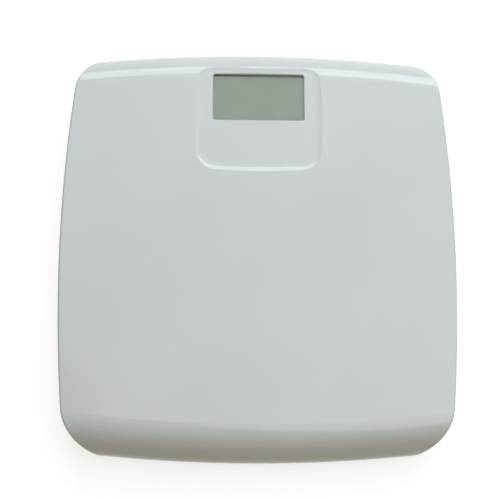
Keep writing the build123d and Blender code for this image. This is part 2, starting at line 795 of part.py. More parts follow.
with BuildPart() as lead_sockets:
    with BuildSketch(Plane.XY.offset(board_bottom)):
        for x in front_socket_places:
            with Locations((x, board_front + plug_reach + (socket_depth - plug_reach) / 2)):
                Rectangle(socket_width, socket_depth - plug_reach)
        for side in (-1, 1):
            socket_x = side * (board_width / 2 - plug_reach - (socket_depth - plug_reach) / 2)
            with Locations((socket_x, board_front + socket_side_offset)):
                Rectangle(socket_depth - plug_reach, socket_width)
    extrude(amount=-socket_height)
    with BuildSketch(Plane.XY.offset(board_bottom - plug_inset)):
        for x in front_socket_places:
            with Locations((x, board_front + plug_reach / 2)):
                Rectangle(socket_width - 2 * plug_inset, plug_reach)
        for side in (-1, 1):
            with Locations((side * (board_width / 2 - plug_reach / 2), board_front + socket_side_offset)):
                Rectangle(plug_reach, socket_width - 2 * plug_inset)
    extrude(amount=-(socket_height - 2 * plug_inset))
save(lead_sockets, "lead_sockets")

board_screws = self_tapping_screws(
    board_bottom, 1, board_screw_places, board_screw_diameter, board_screw_length,
    board_head_diameter, board_head_height,
)
save(board_screws, "board_screws")

# Load cells, their gauge coatings and leads
for name, (side, end), (x, y) in zip(foot_names, corners, foot_places):
    root = y + end * cell_tongue_length / 2
    gauge_y = y + end * gauge_offset
    with BuildPart() as load_cell:
        with BuildSketch(Plane.XY.offset(cell_seat)):
            with Locations((x, y)):
                RectangleRounded(cell_width, cell_width, cell_corner_radius)
            with Locations((x, root - end * (cell_tongue_length + cell_slot_width) / 2)):
                slot_span = cell_tongue_width + 2 * cell_slot_width
                Rectangle(slot_span, cell_tongue_length + cell_slot_width, mode=Mode.SUBTRACT)
            with Locations((x, y)):
                Rectangle(cell_tongue_width, cell_tongue_length)
            with Locations((x, gauge_y)):
                with GridLocations(gauge_beam_width + gauge_window_width, 0, 2, 1):
                    Rectangle(gauge_window_width, gauge_window_length, mode=Mode.SUBTRACT)
        extrude(amount=cell_thickness)
    save(load_cell, f"load_cell_{name}")
    with BuildPart() as gauge_coating:
        with BuildSketch(Plane.XY.offset(cell_top)):
            with Locations((x, gauge_y)):
                RectangleRounded(coating_width, coating_length, coating_corner_radius)
        extrude(amount=coating_height)
        fillet(gauge_coating.faces().sort_by(Axis.Z)[-1].edges(), coating_height / 2)
    save(gauge_coating, f"gauge_coating_{name}")
    save(routed_lead(cell_routes[name], cell_lead_diameter), f"load_cell_lead_{name}")

# Feet: cups with their posts, and rubber pads
for name, (x, y) in zip(foot_names, foot_places):
    outer, rim = foot_diameter / 2, foot_diameter / 2 + foot_flange
    recess, post = pad_diameter / 2 + pad_clearance, foot_post_diameter / 2
    flange_top = flange_bottom + foot_flange_thickness
    post_top = cell_seat - foot_travel - foot_post_gap
    cup_floor = pad_thickness + foot_wall
    with BuildPart() as foot_cup:
        with BuildSketch(Plane(origin=(x, y, 0), x_dir=(1, 0, 0), z_dir=(0, -1, 0))):
            with BuildLine():
                Polyline(
                    (0, pad_thickness),
                    (recess, pad_thickness),
                    (recess, cup_height_over_floor),
                    (outer, cup_height_over_floor),
                    (outer, flange_bottom),
                    (rim, flange_bottom),
                    (rim, flange_top),
                    (outer - foot_wall, flange_top),
                    (outer - foot_wall, cup_floor),
                    (post, cup_floor),
                    (post, post_top),
                    (0, post_top),
                    close=True,
                )
            make_face()
        revolve(axis=Axis((x, y, 0), (0, 0, 1)))
        with BuildSketch(Plane.XY.offset(cup_floor)):
            with Locations((x, y)):
                Rectangle(foot_diameter - foot_wall, foot_rib_thickness)
                Rectangle(foot_rib_thickness, foot_diameter - foot_wall)
        extrude(amount=foot_rib_height)
        fillet(foot_cup.edges().group_by(Axis.Z)[0].sort_by(SortBy.LENGTH)[-1], foot_edge_radius)
    save(foot_cup, f"foot_cup_{name}")
    with BuildPart() as foot_pad:
        with BuildSketch():
            with Locations((x, y)):
                Circle(pad_diameter / 2)
        extrude(amount=pad_thickness)
        fillet(foot_pad.faces().sort_by(Axis.Z)[0].edges(), pad_edge_radius)
        with BuildSketch():
            with Locations((x, y)):
                Circle(pad_groove_diameter / 2 + pad_groove_width / 2)
                Circle(pad_groove_diameter / 2 - pad_groove_width / 2, mode=Mode.SUBTRACT)
        extrude(amount=pad_groove_depth, mode=Mode.SUBTRACT)
    save(foot_pad, f"foot_pad_{name}")

# Batteries and their contacts. The far battery points to +X, the near one to -X
plate_face = compartment_length / 2 - contact_end_gap - contact_thickness
battery_tip = plate_face - contact_end_gap
battery_rows = {"battery_near": -1, "battery_far": 1}
for name, row in battery_rows.items():
    battery_y = compartment_y + row * battery_pitch / 2
    with BuildPart() as battery:
        with BuildSketch(Plane.YZ.offset(row * (battery_tip - battery_nub_height))):
            with Locations((battery_y, battery_height)):
                Circle(battery_diameter / 2)
        extrude(amount=-row * (battery_length - battery_nub_height))
        fillet(battery.edges().filter_by(GeomType.CIRCLE), battery_edge_radius)
        with BuildSketch(Plane.YZ.offset(row * (battery_tip - battery_nub_height))):
            with Locations((battery_y, battery_height)):
                Circle(battery_nub_diameter / 2)
        extrude(amount=row * battery_nub_height)
    save(battery, name)


def battery_contact(side, plate_y, plate_width, spring_y=None, tail_y=None):
    """A contact strip at one end of the compartment, with its leaf spring and solder tail, if any."""
    plate_x = side * (plate_face + contact_thickness / 2)
    peak_x = side * (battery_length - battery_tip + contact_end_gap + contact_thickness / 2)
    low = compartment_floor + battery_gap
    high = compartment_ceiling - battery_gap
    with BuildPart() as strip:
        with BuildSketch(Plane.XZ.offset(-plate_y - plate_width / 2)):
            with BuildLine():
                Line((plate_x, low), (plate_x, high))
            trace(line_width=contact_thickness)
        extrude(amount=plate_width)
        if spring_y is not None:
            with BuildSketch(Plane.XZ.offset(-spring_y - contact_width / 2)):
                with BuildLine():
                    leaf_end = plate_x - side * spring_lean
                    foot = (plate_x, low + contact_thickness)
                    Polyline(foot, (peak_x, battery_height), (leaf_end, high))
                trace(line_width=contact_thickness)
            extrude(amount=contact_width)
        if tail_y is not None:
            with BuildSketch(Plane.XZ.offset(-tail_y - contact_tail_width / 2)):
                with BuildLine():
                    Line((plate_x, battery_height), (plate_x, contact_tail_top))
                trace(line_width=contact_thickness)
            extrude(amount=contact_tail_width)
    return strip


near_y, far_y = compartment_y - battery_pitch / 2, compartment_y + battery_pitch / 2
save(battery_contact(1, far_y, contact_width, tail_y=far_y), "battery_contact_positive")
save(battery_contact(1, near_y, contact_width, spring_y=near_y, tail_y=near_y), "battery_contact_negative")
bridge_width = battery_pitch + contact_width
save(battery_contact(-1, compartment_y, bridge_width, spring_y=far_y), "battery_contact_bridge")

# Leads from the contacts' tails, beside the compartment and on to their socket
tail_side = plate_face + contact_thickness
tail_shares = [(0.45, 1, 1), (0.03, 0.66, 0.25)]
lane_shares = [(0.9, 0.52, 0.96), (0.35, 0.2, 0.55), (0, 0.07, 0)]
for lane, (name, tail_y) in enumerate({"positive": far_y, "negative": near_y}.items()):
    start = (tail_side, tail_y, compartment_top + contact_tail_rise / 2)
    bend = (tail_side + battery_lane + lane * battery_lane_pitch, button_y, lead_height)
    end = (socket_edge_spacing / 2 + (lane - 1 / 2) * battery_lane_pitch, board_front, socket_middle)
    first_leg = route(start, bend, tail_shares)
    second_leg = route(bend, end, lane_shares)
    save(routed_lead(first_leg[:-1] + second_leg, thin_lead_diameter), f"battery_lead_{name}")

# Battery door: plate, hooks, and a latch tongue with finger grooves
with BuildPart() as battery_door:
    with BuildSketch(Plane.XY.offset(tray_bottom)):
        with Locations((0, compartment_y)):
            RectangleRounded(door_length, door_width, door_corner_radius)
        for side in (-1, 1):
            with Locations((side * (latch_width + latch_slot) / 2, door_far - latch_length / 2)):
                Rectangle(latch_slot, latch_length, mode=Mode.SUBTRACT)
    extrude(amount=door_thickness)
    with BuildSketch(Plane.XY.offset(door_top - hook_thickness)):
        with GridLocations(hook_spacing, 0, 2, 1):
            with Locations((0, door_near)):
                Rectangle(hook_width, 2 * hook_reach)
    extrude(amount=hook_thickness)
    with BuildSketch(Plane.XY.offset(tray_bottom)):
        with Locations((0, door_far - latch_length / 2)):
            with GridLocations(0, latch_groove_pitch, 1, latch_groove_count):
                Rectangle(latch_width - 2 * latch_slot, latch_groove_width)
    extrude(amount=latch_groove_depth, mode=Mode.SUBTRACT)
save(battery_door, "battery_door")

# Unit button, key switch, switch board and its lead
with BuildPart() as unit_button:
    with BuildSketch(Plane.XY.offset(button_bottom)):
        with Locations((0, button_y)):
            Circle(button_diameter / 2)
    extrude(amount=button_shoulder - button_bottom)
    fillet(unit_button.faces().sort_by(Axis.Z)[0].edges(), button_edge_radius)
    with BuildSketch(Plane.XY.offset(button_shoulder)):
        with Locations((0, button_y)):
            Circle(button_diameter / 2 + button_flange)
    extrude(amount=button_flange_thickness)
    with BuildSketch(Plane.XY.offset(button_shoulder)):
        with Locations((0, button_y)):
            Circle(button_post_diameter / 2)
    extrude(amount=button_top - button_shoulder)
save(unit_button, "unit_button")

with BuildPart() as key_switch:
    with BuildSketch(Plane.XY.offset(switch_board_bottom)):
        with Locations((0, button_y)):
            Rectangle(key_width, key_width)
    extrude(amount=-key_height)
    with BuildSketch(Plane.XY.offset(switch_board_bottom)):
        with Locations((0, button_y)):
            Circle(plunger_diameter / 2)
    extrude(amount=-key_height - plunger_height)
save(key_switch, "key_switch")

with BuildPart() as switch_board:
    with BuildSketch(Plane.XY.offset(switch_board_bottom)):
        with Locations((0, button_y)):
            RectangleRounded(switch_board_width, switch_board_length, board_corner_radius)
    extrude(amount=switch_board_thickness)
    with Locations(*[(x, y, switch_board_top) for x, y in switch_screw_places]):
        Hole(switch_screw_diameter / 2 + board_hole_clearance / 2)
save(switch_board, "switch_board")

switch_screws = self_tapping_screws(
    switch_board_top, -1, switch_screw_places, switch_screw_diameter, switch_screw_length,
    switch_head_diameter, switch_head_height,
)
save(switch_screws, "switch_screws")

switch_edge = button_y + switch_board_length / 2
switch_start = (-switch_board_width / 4, switch_edge, switch_board_top - switch_board_thickness / 2)
switch_end = (-socket_edge_spacing / 2, board_front, socket_middle)
switch_shares = [(1, 0.86, 1), (0.6, 0.6, 1.2), (0.15, 0.3, 0.7), (0, 0.1, 0)]
save(routed_lead(route(switch_start, switch_end, switch_shares), thin_lead_diameter), "switch_lead")

# Screws that hold the tray to the cover
case_screws = self_tapping_screws(
    pillar_top - case_head_web, 1, case_screw_places, case_screw_diameter, case_screw_length,
    case_head_diameter, case_head_height,
)
save(case_screws, "case_screws")
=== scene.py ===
import math

import bmesh
import bpy
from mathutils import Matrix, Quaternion, Vector


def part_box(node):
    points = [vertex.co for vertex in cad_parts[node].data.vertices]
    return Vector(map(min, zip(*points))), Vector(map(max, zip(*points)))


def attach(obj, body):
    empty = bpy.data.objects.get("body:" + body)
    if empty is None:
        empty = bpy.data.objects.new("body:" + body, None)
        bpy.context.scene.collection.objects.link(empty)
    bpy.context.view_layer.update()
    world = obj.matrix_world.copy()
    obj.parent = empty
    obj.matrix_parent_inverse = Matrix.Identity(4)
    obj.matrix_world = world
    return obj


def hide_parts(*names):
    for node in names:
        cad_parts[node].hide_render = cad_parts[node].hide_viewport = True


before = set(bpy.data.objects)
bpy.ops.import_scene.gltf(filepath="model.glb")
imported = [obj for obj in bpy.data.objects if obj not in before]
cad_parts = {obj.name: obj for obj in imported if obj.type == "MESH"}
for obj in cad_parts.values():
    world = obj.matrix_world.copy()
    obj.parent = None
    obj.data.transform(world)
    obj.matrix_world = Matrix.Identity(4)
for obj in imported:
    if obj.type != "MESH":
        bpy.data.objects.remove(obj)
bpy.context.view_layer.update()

# Looks of the bathroom scale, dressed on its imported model. Lengths are metres, angles degrees
millimetre = 0.001
corners = ("front_left", "front_right", "back_left", "back_right")

# Camera, at the photograph's viewing angle. The middle pixel is where the camera's axis meets the picture
image_pixels = 500
focal_pixels = 964
sensor_millimetres = 36
view_distance = 0.7569
view_azimuth = -8.0
view_elevation = 76.29
view_roll = 8.21
view_height = 0.025
middle_pixel = (258.0, 248.1)

# Floor: a disc of rings just under the feet, with its own two tones and the one that is seen
floor_reach = 4.0
floor_rings = 12
floor_sides = 64
floor_drop = 0.05 * millimetre
floor_dark_tone = (0.36, 0.27, 0.14, 1.0)
floor_light_tone = (0.39, 0.29, 0.16, 1.0)
floor_seen_tone = (0.48, 0.48, 0.48, 1.0)

# Glow that lifts the seen floor to white: its strength by the object, and from where to where it rises to 1
floor_lift = 0.72
floor_lift_start = 0.5
floor_lift_end = 2.0

# Room round the object, and the white that is seen in its place
room_tone = (0.74, 0.60, 0.36)
room_strength = 0.28
white = (1.0, 1.0, 1.0, 1.0)

# Lamps: the place, the point aimed at, width and height, radiance, and colour
lamps = {
    "key_softbox": ((0.42, 0.34, 1.30), (0.28, 0.23, 0.03), (2.05, 1.6), 1.35, (0.87, 0.92, 1.0)),
    "back_window": ((0.40, 1.70, 1.35), (0.20, 0, 0.90), (2.4, 1.1), 3.75, (0.78, 0.91, 1.0)),
}

# Screws: the way they are driven, with the diameter and height of the head and the shank's diameter
screw_kinds = {
    "case_screws": (1, 5.6 * millimetre, 2.2 * millimetre, 3.0 * millimetre),
    "board_screws": (1, 4.6 * millimetre, 1.4 * millimetre, 2.2 * millimetre),
    "switch_screws": (-1, 3.8 * millimetre, 1.2 * millimetre, 2.0 * millimetre),
}

# Profile of a head from its recess to its rim, as shares of its radius and height
head_shares = ((0.64, 1.0), (0.8, 0.96), (0.92, 0.84), (0.98, 0.64), (1.0, 0.4), (1.0, 0.0))

# Cross recess: an arm's reach and half its width as shares of the head's radius, the depth as a share of
# the head's height, and the floor as a share of the opening
recess_reach_share = 0.56
recess_width_share = 0.15
recess_depth_share = 0.75
recess_taper_share = 0.7

# Thread: the core, the tip's thickness and length, and the pitch as shares of the shank's radius, with the
# steps to a turn and how steeply the crest rises
core_share = 0.74
tip_share = 0.3
tip_length_share = 1.6
pitch_share = 0.85
thread_steps = 8
crest_slope = 4
sharp_edge_angle = 32.0

# The screen's colour curve: its top, its straight toe's end and slope, and the offset and power of the rest
channel_top = 255
toe_end = 0.04045
toe_slope = 12.92
curve_offset = 0.055
curve_power = 2.4

# Values that a noise texture mostly lies between
noise_low = 0.3
noise_high = 0.7

# Sockets of a Mix node for its two colours and their mix
first_colour = 6
second_colour = 7
mixed_colour = 2


def linear(channel):
    """One channel of a screen colour, 0 to 255, as the linear share that a shader takes."""
    share = channel / channel_top
    if share <= toe_end:
        return share / toe_slope
    return ((share + curve_offset) / (1 + curve_offset)) ** curve_power


def srgb(red, green, blue):
    """A colour given as it shows on a screen, as the linear colour that a shader takes."""
    return (linear(red), linear(green), linear(blue), 1.0)


class Finish:
    """A procedural material, built node by node on the object's own coordinates in metres."""

    def __init__(self, name, **constants):
        self.material = bpy.data.materials.new(name)
        self.material.use_nodes = True
        self.tree = self.material.node_tree
        self.shader = self.tree.nodes["Principled BSDF"]
        self.place = self.node("ShaderNodeTexCoord").outputs["Object"]
        for socket, value in constants.items():
            self.shader.inputs[socket.replace("_", " ")].default_value = value

    def feed(self, socket, value):
        """Link a socket to another node's output, or set it to a constant."""
        if isinstance(value, bpy.types.NodeSocket):
            self.tree.links.new(value, socket)
        else:
            socket.default_value = value

    def node(self, kind, inputs=None, **settings):
        """A new node with its settings, and its inputs by name or number."""
        made = self.tree.nodes.new(kind)
        for setting, value in settings.items():
            setattr(made, setting, value)
        for socket, value in (inputs or {}).items():
            self.feed(made.inputs[socket], value)
        return made

    def stretched(self, scale, turn=0.0):
        """The coordinates, turned about Z and scaled unevenly, for grain and brushing."""
        inputs = {"Vector": self.place, "Rotation": (0, 0, math.radians(turn)), "Scale": scale}
        return self.node("ShaderNodeMapping", inputs).outputs["Vector"]

    def noise(self, scale=1.0, detail=3.0, roughness=0.5, place=None):
        """Cloudy values from 0 to 1, with features about 1/scale wide."""
        inputs = {"Vector": place or self.place, "Scale": scale, "Detail": detail, "Roughness": roughness}
        return self.node("ShaderNodeTexNoise", inputs).outputs[0]

    def cells(self, scale, feature="F1"):
        """Distance to the middle or the edge of scattered cells."""
        inputs = {"Vector": self.place, "Scale": scale}
        return self.node("ShaderNodeTexVoronoi", inputs, feature=feature).outputs["Distance"]

    def span(self, value, low, high, start=noise_low, end=noise_high):
        """A value brought from start..end to low..high, and held there."""
        inputs = {"Value": value, "From Min": start, "From Max": end, "To Min": low, "To Max": high}
        return self.node("ShaderNodeMapRange", inputs).outputs["Result"]

    def tones(self, share, first, second):
        """A colour between two tones."""
        mix = self.node("ShaderNodeMix", data_type="RGBA")
        self.feed(mix.inputs["Factor"], share)
        self.feed(mix.inputs[first_colour], first)
        self.feed(mix.inputs[second_colour], second)
        return mix.outputs[mixed_colour]

    def shades(self, value, first, second, start=noise_low, end=noise_high):
        """The first tone where a value is at its start, and the second where it is at its end."""
        return self.tones(self.span(value, 0, 1, start, end), first, second)

    def work_out(self, operation, first, second):
        """Arithmetic on two values."""
        return self.node("ShaderNodeMath", {0: first, 1: second}, operation=operation).outputs[0]

    def axis(self, letter):
        """One coordinate of the place, in metres."""
        return self.node("ShaderNodeSeparateXYZ", {0: self.place}).outputs[letter]

    def distance(self, value, middle):
        """How far a value is from a middle."""
        return self.work_out("ABSOLUTE", self.work_out("SUBTRACT", value, middle), 0.0)

    def relief(self, height, depth, strength=1.0, under=None):
        """A normal that follows a height of 0 to 1, over a depth in metres."""
        inputs = {"Strength": strength, "Distance": depth, "Height": height}
        if under is not None:
            inputs["Normal"] = under
        return self.node("ShaderNodeBump", inputs).outputs["Normal"]

    def wear(self, colour, roughness, normal=None, metallic=None):
        """Put worked-out values on the shader."""
        worn = {"Base Color": colour, "Roughness": roughness, "Normal": normal, "Metallic": metallic}
        for socket, value in worn.items():
            if value is not None:
                self.feed(self.shader.inputs[socket], value)
        return self.material


def glossy_shell(name, dark, light):
    """Polished moulded plastic: faint flow marks, smudges, fine rubs and a very slight waviness."""
    rub_stretch = (700.0, 26.0, 26.0)
    wave_depth = 0.03 * millimetre
    skin_depth = 0.002 * millimetre
    finish = Finish(name, IOR=1.5)
    clouds = finish.noise(scale=9.0)
    smudges = finish.noise(scale=38.0, detail=5.0, roughness=0.6)
    rubs = finish.noise(detail=2.0, place=finish.stretched(rub_stretch, turn=32.0))
    smudge_roughness = finish.span(smudges, low=0.075, high=0.12)
    rub_roughness = finish.span(rubs, low=0.0, high=0.02, start=0.6, end=0.8)
    roughness = finish.work_out("ADD", smudge_roughness, rub_roughness)
    waves = finish.relief(finish.noise(scale=55.0, detail=1.0), wave_depth)
    skin = finish.relief(finish.noise(scale=1400.0, detail=2.0), skin_depth, strength=0.5, under=waves)
    return finish.wear(finish.shades(clouds, dark, light), roughness, skin)


def grained_plastic(name, dark, light, low=0.42, high=0.58, grain=2200.0):
    """Moulded plastic with an eroded, matt surface and slight colour flow."""
    grain_depth = 0.03 * millimetre
    fine_share = 1.7
    finish = Finish(name, IOR=1.48)
    clouds = finish.noise(scale=22.0, detail=4.0, roughness=0.6)
    fine = finish.noise(scale=grain * fine_share, roughness=0.7)
    height = finish.work_out("ADD", finish.cells(grain), fine)
    roughness = finish.span(finish.noise(scale=70.0, detail=4.0, roughness=0.6), low, high)
    return finish.wear(finish.shades(clouds, dark, light), roughness, finish.relief(height, grain_depth))


def rubber(name, dark, light):
    """Soft moulded rubber: matt, dusty in patches, with a fine pebble."""
    pebble_depth = 0.05 * millimetre
    finish = Finish(name, IOR=1.5)
    dust = finish.noise(scale=160.0, detail=5.0, roughness=0.7)
    pebble = finish.work_out("ADD", finish.cells(scale=1500.0), finish.noise(scale=3800.0, detail=2.0))
    colour = finish.shades(dust, dark, light, start=0.4, end=0.75)
    roughness = finish.span(dust, low=0.62, high=0.85)
    return finish.wear(colour, roughness, finish.relief(pebble, pebble_depth))


def pressed_steel(name, dark, light, grain_turn=0.0):
    """Rolled and stamped sheet: grain along one way, with faint stains."""
    grain_stretch = (90.0, 6000.0, 6000.0)
    grain_depth = 0.006 * millimetre
    finish = Finish(name, Metallic=1.0)
    grain = finish.noise(detail=4.0, roughness=0.6, place=finish.stretched(grain_stretch, grain_turn))
    stains = finish.noise(scale=75.0, detail=5.0, roughness=0.65)
    grain_roughness = finish.span(grain, low=0.26, high=0.42)
    stain_roughness = finish.span(stains, low=0.0, high=0.06)
    roughness = finish.work_out("ADD", grain_roughness, stain_roughness)
    return finish.wear(finish.shades(stains, dark, light), roughness, finish.relief(grain, grain_depth))


def plated_steel(name, dark, light):
    """Small plated fasteners: soft tumbling marks and slightly uneven plating."""
    mark_depth = 0.008 * millimetre
    finish = Finish(name, Metallic=1.0)
    marks = finish.noise(scale=2600.0, detail=4.0, roughness=0.6)
    colour = finish.shades(finish.noise(scale=420.0), dark, light)
    return finish.wear(colour, finish.span(marks, low=0.2, high=0.36), finish.relief(marks, mark_depth))


def silicone(name, dark, light):
    """A poured, rubbery coating: soft lumps under a skin, lit a little from within."""
    lump_depth = 0.1 * millimetre
    glow = {
        "Subsurface_Weight": 0.25,
        "Subsurface_Radius": (2.0 * millimetre, 1.6 * millimetre, 1.0 * millimetre),
        "Subsurface_Scale": 0.4,
    }
    finish = Finish(name, IOR=1.41, **glow)
    lumps = finish.noise(scale=420.0)
    roughness = finish.span(finish.noise(scale=1200.0, detail=2.0), low=0.3, high=0.45)
    return finish.wear(finish.shades(lumps, dark, light), roughness, finish.relief(lumps, lump_depth))


def lead_jacket(name, dark, light):
    """The soft jacket of a thin wire: a slight sheen, and faint handling marks along it."""
    mark_depth = 0.01 * millimetre
    finish = Finish(name, IOR=1.5)
    marks = finish.noise(scale=900.0, detail=4.0, roughness=0.6)
    colour = finish.shades(finish.noise(scale=130.0), dark, light)
    return finish.wear(colour, finish.span(marks, low=0.34, high=0.52), finish.relief(marks, mark_depth))


def clear_window(name):
    """The clear moulded lens: faint haze and wipe marks in its gloss."""
    wipe_stretch = (30.0, 900.0, 30.0)
    hazy_tone = (0.985, 0.99, 0.985, 1.0)
    clear_tone = (0.995, 1.0, 0.998, 1.0)
    finish = Finish(name, IOR=1.49, Transmission_Weight=1.0)
    haze = finish.noise(scale=120.0, detail=5.0, roughness=0.6)
    wipes = finish.noise(place=finish.stretched(wipe_stretch, turn=8.0))
    haze_roughness = finish.span(haze, low=0.01, high=0.025)
    wipe_roughness = finish.span(wipes, low=0.0, high=0.012, start=0.6, end=0.8)
    roughness = finish.work_out("ADD", haze_roughness, wipe_roughness)
    return finish.wear(finish.shades(haze, hazy_tone, clear_tone), roughness)


def display_glass(name):
    """The unlit display: grey-green polariser with a soft mottle, and a dark border along its edges that is
    painted shade where the window's rim shades the glass.
    """
    # Width of the painted shade along the glass's edges, and the soft edge it fades over
    painted_shade_width = 2.1 * millimetre
    painted_shade_edge = 0.2 * millimetre
    fibre_stretch = (60.0, 5200.0, 60.0)
    finish = Finish(name, IOR=1.5, Specular_IOR_Level=0.2)
    low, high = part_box("lcd_panel")
    half_size = (high - low) / 2
    middle = (low + high) / 2
    from_side = finish.work_out("SUBTRACT", half_size.x, finish.distance(finish.axis("X"), middle.x))
    from_end = finish.work_out("SUBTRACT", half_size.y, finish.distance(finish.axis("Y"), middle.y))
    from_edge = finish.work_out("MINIMUM", from_side, from_end)
    mottle = finish.noise(scale=60.0, detail=4.0, roughness=0.6)
    fibres = finish.noise(detail=2.0, place=finish.stretched(fibre_stretch, turn=45.0))
    mottle_part = finish.span(mottle, low=0.0, high=0.8)
    fibre_part = finish.span(fibres, low=0.0, high=0.2)
    drift = finish.work_out("ADD", mottle_part, fibre_part)
    field = finish.tones(drift, srgb(101, 117, 88), srgb(105, 122, 98))
    # Painted shade: the glass is dark along its edges, where the window's rim shades it
    colour = finish.shades(from_edge, srgb(70, 76, 74), field, painted_shade_width, painted_shade_width + painted_shade_edge)
    return finish.wear(colour, finish.span(mottle, low=0.22, high=0.3))


def board_laminate(name):
    """A circuit board: solder mask over copper runs, on a woven base."""
    relief_depth = 0.04 * millimetre
    finish = Finish(name, IOR=1.5)
    runs = finish.node("ShaderNodeTexBrick", {"Vector": finish.place, "Scale": 90.0, "Mortar Size": 0.05})
    from_line = finish.cells(scale=260.0, feature="DISTANCE_TO_EDGE")
    lines = finish.span(from_line, low=1.0, high=0.0, start=0.02, end=0.05)
    copper = finish.work_out("MAXIMUM", runs.outputs["Fac"], lines)
    weave = finish.node("ShaderNodeTexWave", {"Vector": finish.place, "Scale": 700.0, "Distortion": 0.4})
    weave_height = finish.span(weave.outputs["Fac"], low=0.0, high=0.12, start=0.0, end=1.0)
    height = finish.work_out("ADD", copper, weave_height)
    mask = finish.tones(copper, srgb(20, 74, 44), srgb(38, 104, 62))
    roughness = finish.span(finish.noise(scale=140.0), low=0.28, high=0.42)
    return finish.wear(mask, roughness, finish.relief(height, relief_depth))


def resin_blob(name):
    """Poured black resin: glossy, with small pits and a slight orange peel."""
    peel_depth = 0.04 * millimetre
    finish = Finish(name, IOR=1.55)
    peel = finish.noise(scale=620.0)
    pits = finish.span(finish.cells(scale=900.0), low=0.0, high=1.0, start=0.0, end=0.2)
    height = finish.work_out("MULTIPLY", peel, pits)
    colour = finish.shades(peel, srgb(20, 20, 22), srgb(38, 38, 41))
    return finish.wear(colour, finish.span(peel, low=0.16, high=0.3), finish.relief(height, peel_depth))


def battery_jacket(name):
    """Printed foil round a cell: a dark body with a plain coppery band at one end, bare steel at both."""
    band_share = 0.74
    band_edge_share = 0.005
    bare_share = 0.475
    bare_edge_share = 0.003
    band_metal = 0.6
    grain_depth = 0.004 * millimetre
    finish = Finish(name, IOR=1.5)
    low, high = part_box("battery_near")
    along = finish.span(finish.axis("X"), 0.0, 1.0, low.x, high.x)
    band = finish.span(along, 0.0, 1.0, band_share, band_share + band_edge_share)
    bare = finish.span(finish.distance(along, 0.5), 0.0, 1.0, bare_share, bare_share + bare_edge_share)
    grain = finish.noise(scale=2400.0, detail=2.0)
    body = finish.shades(grain, srgb(30, 34, 42), srgb(40, 45, 55))
    copper = finish.shades(grain, srgb(176, 122, 70), srgb(196, 140, 84))
    colour = finish.tones(bare, finish.tones(band, body, copper), srgb(188, 190, 192))
    metal = finish.work_out("MAXIMUM", bare, finish.work_out("MULTIPLY", band, band_metal))
    roughness = finish.span(grain, low=0.24, high=0.34)
    return finish.wear(colour, roughness, finish.relief(grain, grain_depth), metal)


def seen_directly(tree):
    """1 for rays that a viewer, a gloss or a glass sends, 0 for those that gather light."""
    path = tree.nodes.new("ShaderNodeLightPath")
    seen = path.outputs["Is Camera Ray"]
    for ray in ("Is Glossy Ray", "Is Transmission Ray"):
        either = tree.nodes.new("ShaderNodeMath")
        either.operation = "MAXIMUM"
        tree.links.new(seen, either.inputs[0])
        tree.links.new(path.outputs[ray], either.inputs[1])
        seen = either.outputs[0]
    return seen


def floor_finish():
    """Warm matt paper with a soft mottle, lifted to white where it is seen, with its shadows kept."""
    finish = Finish("studio_paper", IOR=1.3, Emission_Color=white)
    mottle = finish.noise(scale=7.0)
    own = finish.shades(mottle, floor_dark_tone, floor_light_tone)
    seen = seen_directly(finish.tree)
    from_middle = finish.node("ShaderNodeVectorMath", {0: finish.place}, operation="LENGTH")
    lift = finish.span(from_middle.outputs["Value"], floor_lift, 1.0, floor_lift_start, floor_lift_end)
    finish.feed(finish.shader.inputs["Emission Strength"], finish.work_out("MULTIPLY", seen, lift))
    colour = finish.tones(seen, own, floor_seen_tone)
    return finish.wear(colour, finish.span(mottle, low=0.75, high=0.85))


def studio_floor():
    """A broad pale disc under the object, with finer rings towards its middle."""
    mesh = bmesh.new()
    rings = []
    for ring in range(floor_rings + 1):
        reach = floor_reach * (ring / floor_rings) ** 2
        count = 1 if ring == 0 else floor_sides
        turns = [2 * math.pi * k / count for k in range(count)]
        places = [(reach * math.cos(turn), reach * math.sin(turn), -floor_drop) for turn in turns]
        rings.append([mesh.verts.new(place) for place in places])
    for inner, outer in zip(rings, rings[1:]):
        for k in range(floor_sides):
            after = (k + 1) % floor_sides
            around = [outer[k], outer[after], inner[after % len(inner)], inner[k % len(inner)]]
            mesh.faces.new(list(dict.fromkeys(around)))
    data = bpy.data.meshes.new("studio_floor")
    mesh.to_mesh(data)
    mesh.free()
    floor = bpy.data.objects.new("studio_floor", data)
    bpy.context.scene.collection.objects.link(floor)
    data.materials.append(floor_finish())


def studio_world():
    """A dim, warm room that shows as white where it is seen, also in gloss and glass."""
    world = bpy.data.worlds.new("studio_room")
    bpy.context.scene.world = world
    world.use_nodes = True
    tree = world.node_tree
    mix = tree.nodes.new("ShaderNodeMix")
    mix.data_type = "RGBA"
    mix.inputs[first_colour].default_value = [room_strength * tone for tone in room_tone] + [1.0]
    mix.inputs[second_colour].default_value = white
    tree.links.new(seen_directly(tree), mix.inputs["Factor"])
    tree.links.new(mix.outputs[mixed_colour], tree.nodes["Background"].inputs["Color"])


def softbox(name, place, aim, size, radiance, tone):
    """A rectangular soft lamp at a place, aimed at a point, as bright as its radiance says."""
    data = bpy.data.lights.new(name, "AREA")
    data.shape = "RECTANGLE"
    data.size, data.size_y = size
    data.color = tone
    data.energy = radiance * math.pi * size[0] * size[1]
    lamp = bpy.data.objects.new(name, data)
    bpy.context.scene.collection.objects.link(lamp)
    lamp.location = place
    lamp.rotation_mode = "QUATERNION"
    lamp.rotation_quaternion = (Vector(aim) - Vector(place)).to_track_quat("-Z", "Y")
    lamp.visible_camera = False


